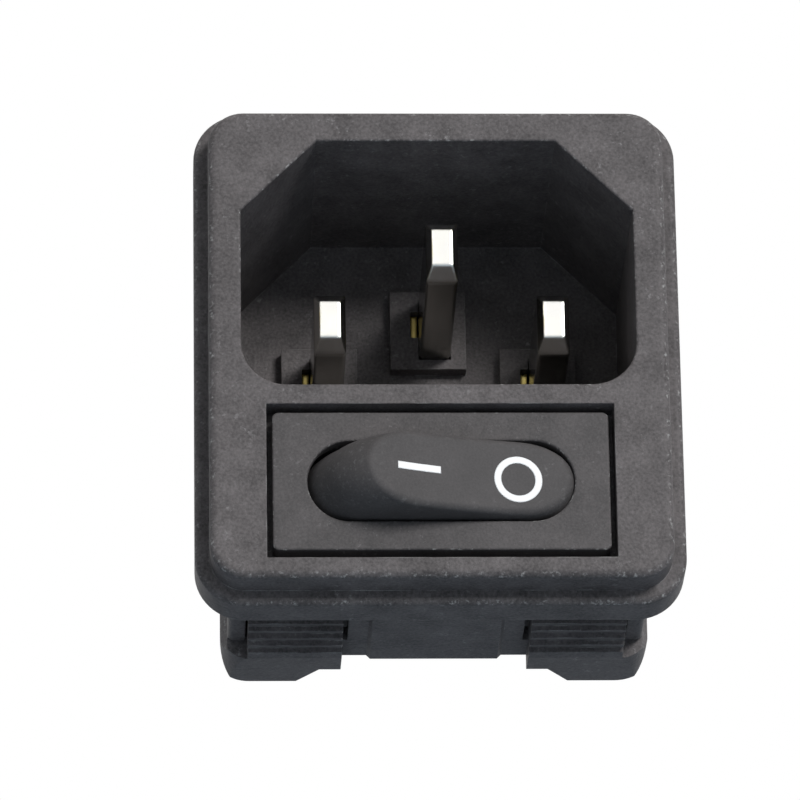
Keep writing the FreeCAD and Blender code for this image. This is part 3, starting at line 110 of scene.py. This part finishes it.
def colour(red, green, blue):
    """A colour from its 0 to 255 screen values."""
    straight = []
    for level in (red, green, blue):
        part = level / 255
        straight.append(part / 12.92 if part <= 0.04045 else ((part + 0.055) / 1.055) ** 2.4)
    return (*straight, 1.0)


# Shader groups shared by several finishes

PIT_SCALE = 0.62  # of the pits' pattern against the grain's
PIT_SHARE = 0.4  # of the pits in the grain's height
GRAIN_SHARE = 0.55  # of the grain in the mottle
DRAWN_OUT = (1.0, 0.04, 1.0)  # rolling lines run along Y


def new_group(name, inputs, outputs):
    """An empty shader group with named number inputs, and the outputs of its input node."""
    tree = bpy.data.node_groups.new(name, "ShaderNodeTree")
    for word, default in inputs.items():
        socket(tree, word, "INPUT", "Float", default)
    for word, kind in outputs.items():
        socket(tree, word, "OUTPUT", kind)
    return tree, node(tree, "Input", family="NodeGroup").outputs


def eroded_grain_group():
    """Fine spark-eroded mould grain: height, a mottle mask and crowds of small bright flecks."""
    results = {"Height": "Float", "Mottle": "Float", "Speck": "Float"}
    tree, into = new_group("eroded grain", {"Grain": 5200.0, "Specks": 0.5}, results)
    place = node(tree, "TexCoord").outputs["Object"]
    fine = noise(tree, place, into["Grain"], detail=3.0, roughness=0.62)
    pit_scale = sums(tree, "MULTIPLY", into["Grain"], PIT_SCALE)
    pits = node(
        tree, "TexVoronoi", feature="SMOOTH_F1", in_Vector=place, in_Scale=pit_scale, in_Smoothness=0.6
    )
    height = mixed(tree, PIT_SHARE, fine, pits.outputs["Distance"], kind="FLOAT")

    broad = noise(tree, place, scale=420.0, detail=4.0, roughness=0.6)
    mottle = mixed(tree, GRAIN_SHARE, broad, fine, kind="FLOAT")

    flecks = noise(tree, place, scale=2100.0, detail=5.0, roughness=0.78)
    spread = noise(tree, place, scale=260.0, detail=2.0, roughness=0.5)
    bright = ramp(tree, flecks, low=0.58, high=0.72)
    crowd = ramp(tree, spread, low=0.42, high=0.62, at_low=0.25)
    speck = sums(tree, "MULTIPLY", sums(tree, "MULTIPLY", bright, crowd), into["Specks"])
    node(tree, "Output", family="NodeGroup", in_Height=height, in_Mottle=mottle, in_Speck=speck)
    return tree


def rolled_strip_group():
    """Rolling lines and small stains of strip metal."""
    tree, into = new_group("rolled strip", {"Lines": 900.0}, {"Height": "Float", "Stain": "Float"})
    place = node(tree, "TexCoord").outputs["Object"]
    stretched = node(tree, "Mapping", in_Vector=place, in_Scale=DRAWN_OUT).outputs[0]
    lines = noise(tree, stretched, into["Lines"], detail=2.0, roughness=0.5)
    stain = noise(tree, place, scale=330.0, detail=5.0, roughness=0.65)
    node(tree, "Output", family="NodeGroup", in_Height=lines, in_Stain=stain)
    return tree


def rubbed_edge_group():
    """Masks of the edges that hands, plugs and panels rub, broken up by noise, and the normal they leave."""
    results = {"Edge": "Float", "Scuff": "Float", "Rounded": "Vector"}
    tree, into = new_group("rubbed edge", {"Radius": 0.12 * MM, "Patches": 600.0}, results)
    place = node(tree, "TexCoord").outputs["Object"]
    flat = node(tree, "NewGeometry").outputs["Normal"]
    rounded = node(tree, "Bevel", samples=6, in_Radius=into["Radius"]).outputs[0]
    turned = node(tree, "VectorMath", operation="DOT_PRODUCT")
    for slot, normal in zip(turned.inputs, (rounded, flat)):
        feed(tree, normal, slot)
    edge = ramp(tree, turned.outputs["Value"], low=0.985, high=0.80)
    patch = noise(tree, place, into["Patches"], detail=3.0, roughness=0.6)
    worn = sums(tree, "MULTIPLY", edge, ramp(tree, patch, low=0.46, high=0.66))

    # Scuffs: rounded edges that lean between the front and a side
    leaning = sums(tree, "ABSOLUTE", node(tree, "SeparateXYZ", in_Vector=flat).outputs["Y"])
    off_side = ramp(tree, leaning, low=0.2, high=0.45)
    off_front = ramp(tree, leaning, low=0.97, high=0.85)
    bits = noise(tree, place, scale=2600.0, detail=4.0, roughness=0.7)
    chips = ramp(tree, bits, low=0.56, high=0.68)
    scuff = sums(tree, "MULTIPLY", sums(tree, "MULTIPLY", off_side, off_front), chips)
    node(tree, "Output", family="NodeGroup", in_Edge=worn, in_Scuff=scuff, in_Rounded=rounded)
    return tree


ERODED = eroded_grain_group()
ROLLED = rolled_strip_group()
RUBBED = rubbed_edge_group()


# Finishes

FLECK_GREY = colour(160, 157, 157)
WORN_GREY = colour(172, 172, 170)
EDGE_POLISH = 0.15  # how much smoother a worn edge is
METAL_EDGE = 0.26 * MM
# Painted shade: a pin's body behind its tip is coloured greyer and darker, standing in for the dark cavity
# it mirrors and the shadow it lies in
PAINTED_PIN_SHADE = colour(150, 148, 140)
PAINTED_SHADE_FROM = 0.72 * MM  # behind a pin's tip
PAINTED_SHADE_FULL = 1.42 * MM


def new_finish(name):
    finish = bpy.data.materials.new(name)
    finish.use_nodes = True
    return finish, finish.node_tree, finish.node_tree.nodes["Principled BSDF"]


def placed(tree, group, **values):
    """The outputs of a shader group that stands in a finish with its own values."""
    made = node(tree, "Group")
    made.node_tree = group
    for name, setting in values.items():
        made.inputs[name].default_value = setting
    return made.outputs


def relief(tree, shader, height, rounded, depth, strength):
    """Bumps of a depth in mm on top of the softened edges."""
    bump = node(tree, "Bump", in_Height=height, in_Normal=rounded, in_Strength=strength)
    bump.inputs["Distance"].default_value = depth * MM
    feed(tree, bump.outputs[0], shader.inputs["Normal"])


def moulded(name, dark, light, rough, grain=5200.0, depth=0.012, specks=0.7, shine=0.18, rubbed=0.7):
    """Moulded plastic with the mould's eroded grain, its depth in mm; shine is how much it mirrors."""
    finish, tree, shader = new_finish(name)
    shader.inputs["Specular IOR Level"].default_value = shine
    skin = placed(tree, ERODED, Grain=grain, Specks=specks)
    wear = placed(tree, RUBBED)
    paint = mixed(tree, ramp(tree, skin["Mottle"], low=0.32, high=0.68), dark, light)
    flecked = mixed(tree, skin["Speck"], paint, FLECK_GREY)
    worn = sums(tree, "MULTIPLY", sums(tree, "MAXIMUM", wear["Edge"], wear["Scuff"]), rubbed)
    feed(tree, mixed(tree, worn, flecked, WORN_GREY), shader.inputs["Base Color"])
    satin = ramp(tree, skin["Mottle"], low=0.3, high=0.7, at_low=rough - 0.06, at_high=rough + 0.08)
    polished = sums(tree, "MULTIPLY_ADD", wear["Edge"], -EDGE_POLISH, satin)
    feed(tree, polished, shader.inputs["Roughness"])
    relief(tree, shader, skin["Height"], wear["Rounded"], depth, strength=1.0)
    return finish


def metal(name, clean, dull, rough, edge=None, tip=None):
    """Rolled or drawn strip; behind a pin's bright tip, given along Y, its body gets a painted shade, greyer
    and darker.
    """
    finish, tree, shader = new_finish(name)
    shader.inputs["Metallic"].default_value = 1.0
    strip = placed(tree, ROLLED)
    wear = placed(tree, RUBBED, Radius=METAL_EDGE)
    stained = mixed(tree, ramp(tree, strip["Stain"], low=0.35, high=0.7), clean, dull)
    whole = mixed(tree, wear["Edge"], stained, edge or clean)
    if tip is not None:
        place = node(tree, "TexCoord").outputs["Object"]
        along = node(tree, "SeparateXYZ", in_Vector=place).outputs["Y"]
        # painted shade on the pin's body, growing from nothing to full over a short depth behind the tip
        painted_shade_share = ramp(tree, along, low=tip + PAINTED_SHADE_FROM, high=tip + PAINTED_SHADE_FULL)
        whole = mixed(tree, painted_shade_share, whole, PAINTED_PIN_SHADE)
    feed(tree, whole, shader.inputs["Base Color"])
    satin = ramp(tree, strip["Stain"], low=0.3, high=0.7, at_low=rough - 0.05, at_high=rough + 0.12)
    feed(tree, satin, shader.inputs["Roughness"])
    relief(tree, shader, strip["Height"], wear["Rounded"], depth=0.003, strength=0.7)
    return finish


def pin_plate(name, pin):
    """Bright nickel whose worn edges show the brass under it, with a painted shade on its body behind the
    tip.
    """
    clean, dull, brass = colour(252, 251, 247), colour(242, 240, 230), colour(214, 196, 118)
    return metal(name, clean, dull, rough=0.12, edge=brass, tip=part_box(pin)[0].y)


HOUSING_BLACK = moulded("housing black", colour(65, 62, 62), colour(113, 108, 108), rough=0.56, depth=0.034)
FRAME_BLACK = moulded(
    "switch frame black",
    colour(66, 64, 64),
    colour(97, 93, 93),
    rough=0.55,
    grain=6800.0,
    depth=0.014,
    specks=0.5,
)
ROCKER_BLACK = moulded(
    "rocker black",
    colour(71, 69, 69),
    colour(90, 87, 87),
    rough=0.6,
    grain=7600.0,
    depth=0.007,
    specks=0.3,
    shine=0.14,
    rubbed=0.12,
)
BASE_BLACK = moulded(
    "switch base black", colour(52, 52, 54), colour(64, 63, 65), rough=0.5, depth=0.008, specks=0.2
)
PLUNGER_WHITE = moulded(
    "plunger nylon",
    colour(226, 223, 212),
    colour(236, 233, 224),
    rough=0.4,
    grain=5000.0,
    depth=0.003,
    specks=0.0,
    shine=0.45,
    rubbed=0.0,
)
PRINT_WHITE = moulded(
    "print white",
    colour(250, 250, 250),
    colour(254, 254, 253),
    rough=0.5,
    grain=5000.0,
    depth=0.002,
    specks=0.0,
    shine=0.3,
    rubbed=0.0,
)
# Two nickel copies only because the painted shade starts behind each pin's own tip
NICKEL = pin_plate("nickel plate", "line_pin")
EARTH_NICKEL = pin_plate("earth nickel plate", "earth_pin")
BRASS = metal("brass strip", colour(204, 186, 116), colour(156, 138, 84), rough=0.30)
COPPER = metal("contact bronze", colour(204, 144, 96), colour(170, 116, 78), rough=0.32)
SILVER = metal("contact silver", colour(228, 227, 222), colour(196, 194, 188), rough=0.24)
STEEL = metal("spring steel", colour(190, 190, 190), colour(160, 160, 162), rough=0.28)

FINISHES = {
    "inlet_housing": HOUSING_BLACK,
    "line_pin": NICKEL,
    "neutral_pin": NICKEL,
    "earth_pin": EARTH_NICKEL,
    "line_tab": BRASS,
    "neutral_tab": BRASS,
    "earth_tab": BRASS,
    "switch_frame": FRAME_BLACK,
    "rocker": ROCKER_BLACK,
    "plunger": PLUNGER_WHITE,
    "plunger_spring": STEEL,
    "switch_base": BASE_BLACK,
    "common_terminal": BRASS,
    "switched_terminal": BRASS,
    "fixed_contact": SILVER,
    "seesaw_contact": COPPER,
    "moving_contact": SILVER,
}


def dress(piece, finish):
    piece.data.materials.clear()
    piece.data.materials.append(finish)


for name, finish in FINISHES.items():
    dress(NODES[name], finish)


# The rocker's pivot and its tilt at rest, from its joint: half the way from off to on

ROCKER_JOINT = next(joint for joint in frame["joints"] if joint["name"] == "rocker_pivot")
PIVOT = tuple(ROCKER_JOINT["pos_m"])
FULLY_ON, FULLY_OFF = ROCKER_JOINT["range_deg"]
OFF_TILT = math.radians((FULLY_OFF - FULLY_ON) / 2)


# The rocker's own outline: its raised face reaches further towards both ends than its round ends do

FACE_REACH = 0.123  # share by which the face's ends move outwards
CORNER_REACH = 0.4 * MM  # how much further they move in the face's corners
END_DROP = 0.22 * MM  # how much lower the face ends
HALF_FACE = 6.2 * MM
REACH_FROM = 3.4 * MM  # in front of the pivot, where the drawing out starts
REACH_OVER = 3.8 * MM  # the depth in which it grows to its full share


def drawn_out_rocker():
    low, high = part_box("rocker")
    half_height = (high.z - low.z) / 2
    lay = Matrix.Translation(PIVOT) @ Matrix.Rotation(OFF_TILT, 4, "Z")
    level_out = lay.inverted()
    piece = bpy.data.objects.new("rocker_moulding", NODES["rocker"].data.copy())
    bpy.context.scene.collection.objects.link(piece)
    shell = bmesh.new()
    shell.from_mesh(piece.data)
    for corner in shell.verts:
        spot = level_out @ corner.co
        raised = min(max((-spot.y - REACH_FROM) / REACH_OVER, 0.0), 1.0)
        endward = spot.x / HALF_FACE
        spot.x *= 1 + FACE_REACH * raised
        spot.x += CORNER_REACH * raised * endward * (spot.z / half_height) ** 2
        spot.y += END_DROP * raised * endward**2
        corner.co = lay @ spot
    shell.to_mesh(piece.data)
    shell.free()
    dress(piece, ROCKER_BLACK)
    return piece


long_face = drawn_out_rocker()
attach(long_face, "rocker")
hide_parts("rocker")


# Printed marks on the rocker: strokes that follow a path and lie on its hollow face

RING_RADIUS = 1.28 * MM
RING_STROKE = 0.44 * MM
RING_UP = -0.17 * MM
BAR_LENGTH = 2.8 * MM
BAR_STROKE = 0.47 * MM
INK_DEPTH = 0.03 * MM
MARK_ACROSS = 3.15 * MM
FACE_HEIGHT = 6.35 * MM  # the face's lowest place in front of the pivot
FACE_CURVE = 35.0 * MM


def printed_stroke_tree():
    """A flat stroke of ink along a ring or a bar, bent on to the rocker's face and tilted with it."""
    tree = bpy.data.node_groups.new("printed stroke", "GeometryNodeTree")
    socket(tree, "Geometry", "OUTPUT", "Geometry")
    for name, default in (
        ("Ring radius", RING_RADIUS),
        ("Bar length", 0.0),
        ("Stroke", RING_STROKE),
        ("Ink", INK_DEPTH),
        ("Across", 0.0),
        ("Up", 0.0),
        ("Face height", FACE_HEIGHT),
        ("Face curve", FACE_CURVE),
        ("Tilt", OFF_TILT),
    ):
        socket(tree, name, "INPUT", "Float", default)
    socket(tree, "Pivot", "INPUT", "Vector")
    socket(tree, "Finish", "INPUT", "Material")
    into = node(tree, "Input", family="NodeGroup").outputs

    def step(kind, **settings):
        return node(tree, kind, family="GeometryNode", **settings).outputs

    # The path: a ring, or a bar where a bar length is given
    ring = step("CurvePrimitiveCircle", in_Resolution=96, in_Radius=into["Ring radius"])
    ends = [
        node(tree, "CombineXYZ", in_X=sums(tree, "MULTIPLY", into["Bar length"], side)).outputs[0]
        for side in (-0.5, 0.5)
    ]
    line = step("CurvePrimitiveLine", in_Start=ends[0], in_End=ends[1])
    fine = step("ResampleCurve", in_Curve=line[0], in_Count=24)
    is_bar = sums(tree, "GREATER_THAN", into["Bar length"], 0.0)
    path = step("Switch", input_type="GEOMETRY", in_Switch=is_bar, in_False=ring[0], in_True=fine[0])
    upright = step("SetCurveNormal", mode="Z_UP", in_Curve=path[0])
    section = step("CurvePrimitiveQuadrilateral", in_Width=into["Stroke"], in_Height=into["Ink"])
    sweep = step("CurveToMesh", in_Curve=upright[0], in_Profile_Curve=section[0], in_Fill_Caps=True)

    # The face: hollow along the rocker, tilted about its pivot
    here = node(tree, "SeparateXYZ", in_Vector=step("InputPosition")[0]).outputs
    curve = into["Face curve"]
    across = sums(tree, "ADD", here["X"], into["Across"])
    squares = [sums(tree, "MULTIPLY", side, side) for side in (curve, across)]
    hollow = sums(tree, "SUBTRACT", curve, sums(tree, "SQRT", sums(tree, "SUBTRACT", *squares)))
    front = sums(tree, "ADD", sums(tree, "ADD", into["Face height"], hollow), here["Z"])
    back = sums(tree, "MULTIPLY", front, -1.0)
    up = sums(tree, "ADD", here["Y"], into["Up"])
    spot = node(tree, "CombineXYZ", in_X=across, in_Y=back, in_Z=up).outputs[0]
    lean = node(tree, "VectorRotate", rotation_type="Z_AXIS", in_Vector=spot, in_Angle=into["Tilt"])
    seat = node(tree, "VectorMath", operation="ADD")
    for slot, part in zip(seat.inputs, (lean.outputs[0], into["Pivot"])):
        feed(tree, part, slot)
    laid = step("SetPosition", in_Geometry=sweep[0], in_Position=seat.outputs[0])
    whole = step("RealizeInstances", in_Geometry=laid[0])
    inked = step("SetMaterial", in_Geometry=whole[0], in_Material=into["Finish"])
    node(tree, "Output", family="NodeGroup", in_Geometry=inked[0])
    return tree


def baked(name, tree, **values):
    """A plain mesh object from a geometry tree with the given inputs."""
    holder = bpy.data.objects.new(name + " holder", bpy.data.meshes.new(name + " holder"))
    bpy.context.scene.collection.objects.link(holder)
    modifier = holder.modifiers.new("tree", "NODES")
    modifier.node_group = tree
    for item in tree.interface.items_tree:
        key = item.name.replace(" ", "_").lower()
        if item.in_out == "INPUT" and key in values:
            modifier[item.identifier] = values[key]
    bpy.context.view_layer.update()
    mesh = bpy.data.meshes.new_from_object(holder.evaluated_get(bpy.context.evaluated_depsgraph_get()))
    bpy.data.objects.remove(holder)
    shell = bmesh.new()
    shell.from_mesh(mesh)
    bmesh.ops.remove_doubles(shell, verts=shell.verts, dist=0.001 * MM)
    bmesh.ops.recalc_face_normals(shell, faces=shell.faces)
    for face in shell.faces:
        face.smooth = False
    shell.to_mesh(mesh)
    shell.free()
    mesh.name = name
    piece = bpy.data.objects.new(name, mesh)
    bpy.context.scene.collection.objects.link(piece)
    return piece


STROKE = printed_stroke_tree()
INKED = {"pivot": PIVOT, "finish": PRINT_WHITE}
off_ring = baked("off_mark", STROKE, across=MARK_ACROSS, up=RING_UP, **INKED)
on_bar = baked("on_mark", STROKE, across=-MARK_ACROSS, bar_length=BAR_LENGTH, stroke=BAR_STROKE, **INKED)
for mark in (off_ring, on_bar):
    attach(mark, "rocker")


# Floor: the camera sees it white, and the object gets only its cool pale tone

FLOOR_REACH = 4.0
FLOOR_UNDER = 0.3
FLOOR_TONE = (0.48, 0.56, 0.64, 1)
FLOOR_SEEN = (0.9, 0.9, 0.9, 1)
FLOOR_GLOW = (0.8, 0.8, 0.8, 1)
NO_GLOW = (0, 0, 0, 1)


def pale_floor():
    square = ((-1, -1), (1, -1), (1, 1), (-1, 1))
    corners = [(x * FLOOR_REACH, y * FLOOR_REACH, -FLOOR_UNDER) for x, y in square]
    mesh = bpy.data.meshes.new("floor")
    mesh.from_pydata(corners, [], [(0, 1, 2, 3)])
    piece = bpy.data.objects.new("floor", mesh)
    bpy.context.scene.collection.objects.link(piece)
    finish, tree, shader = new_finish("pale floor")
    by_camera = node(tree, "LightPath").outputs["Is Camera Ray"]
    feed(tree, mixed(tree, by_camera, FLOOR_TONE, FLOOR_SEEN), shader.inputs["Base Color"])
    feed(tree, mixed(tree, by_camera, NO_GLOW, FLOOR_GLOW), shader.inputs["Emission Color"])
    shader.inputs["Emission Strength"].default_value = 1.0
    shader.inputs["Roughness"].default_value = 0.8
    dress(piece, finish)
    return piece


floor = pale_floor()


# Surroundings and lamps

SKY_TONE = (0.93, 0.97, 1.0, 1)
SKY_STRENGTH = 0.25
WHITE = (1, 1, 1, 1)


def pale_surroundings():
    """Dim cool light from all round, which the camera, glass and bright metal see as plain white."""
    world = bpy.data.worlds.new("studio")
    bpy.context.scene.world = world
    world.use_nodes = True
    tree = world.node_tree
    dim = tree.nodes["Background"]
    dim.inputs["Color"].default_value = SKY_TONE
    dim.inputs["Strength"].default_value = SKY_STRENGTH
    white = node(tree, "Background", in_Color=WHITE, in_Strength=1.0)
    ray = node(tree, "LightPath").outputs
    through = sums(tree, "MAXIMUM", ray["Is Camera Ray"], ray["Is Transmission Ray"])
    shown = sums(tree, "MAXIMUM", through, ray["Is Glossy Ray"])
    choose = node(tree, "MixShader")
    for slot, term in zip(choose.inputs, (shown, dim.outputs[0], white.outputs[0])):
        feed(tree, term, slot)
    feed(tree, choose.outputs[0], tree.nodes["World Output"].inputs["Surface"])


def soft_lamp(name, place, size, watts):
    """A square lamp that is aimed at the object."""
    lamp = bpy.data.lights.new(name, "AREA")
    lamp.shape = "SQUARE"
    lamp.size = size
    lamp.energy = watts
    holder = bpy.data.objects.new(name, lamp)
    holder.location = place
    holder.rotation_euler = (-Vector(place)).to_track_quat("-Z", "Y").to_euler()
    bpy.context.scene.collection.objects.link(holder)


pale_surroundings()
soft_lamp("key", place=(0.42, -0.86, 0.34), size=0.3, watts=7.9)
soft_lamp("fill", place=(-0.35, -0.8, 0.55), size=0.4, watts=0.4)


# Camera: from in front and well below, as the photo was taken

CAMERA_PLACE = Vector((-17.83, -392.57, -165.46)) * MM
CAMERA_AIM = Vector((0.03657, 0.92243, 0.38445)).normalized()
CAMERA_ROLL = math.radians(-0.92)
SENSOR_WIDTH = 36.0
FOCAL_LENGTH = 307.6


def photo_camera():
    lens = bpy.data.cameras.new("camera")
    lens.sensor_width = SENSOR_WIDTH
    lens.lens = FOCAL_LENGTH
    lens.clip_start = 0.05
    lens.clip_end = 20.0
    camera = bpy.data.objects.new("camera", lens)
    level = Vector((CAMERA_AIM.y, -CAMERA_AIM.x, 0)).normalized()
    upward = level.cross(CAMERA_AIM)
    right = math.cos(CAMERA_ROLL) * level + math.sin(CAMERA_ROLL) * upward
    top = -math.sin(CAMERA_ROLL) * level + math.cos(CAMERA_ROLL) * upward
    turn = Matrix((right, top, -CAMERA_AIM)).transposed()
    camera.matrix_world = Matrix.Translation(CAMERA_PLACE) @ turn.to_4x4()
    bpy.context.scene.collection.objects.link(camera)
    bpy.context.scene.camera = camera


photo_camera()
bpy.context.scene.view_settings.view_transform = "Standard"
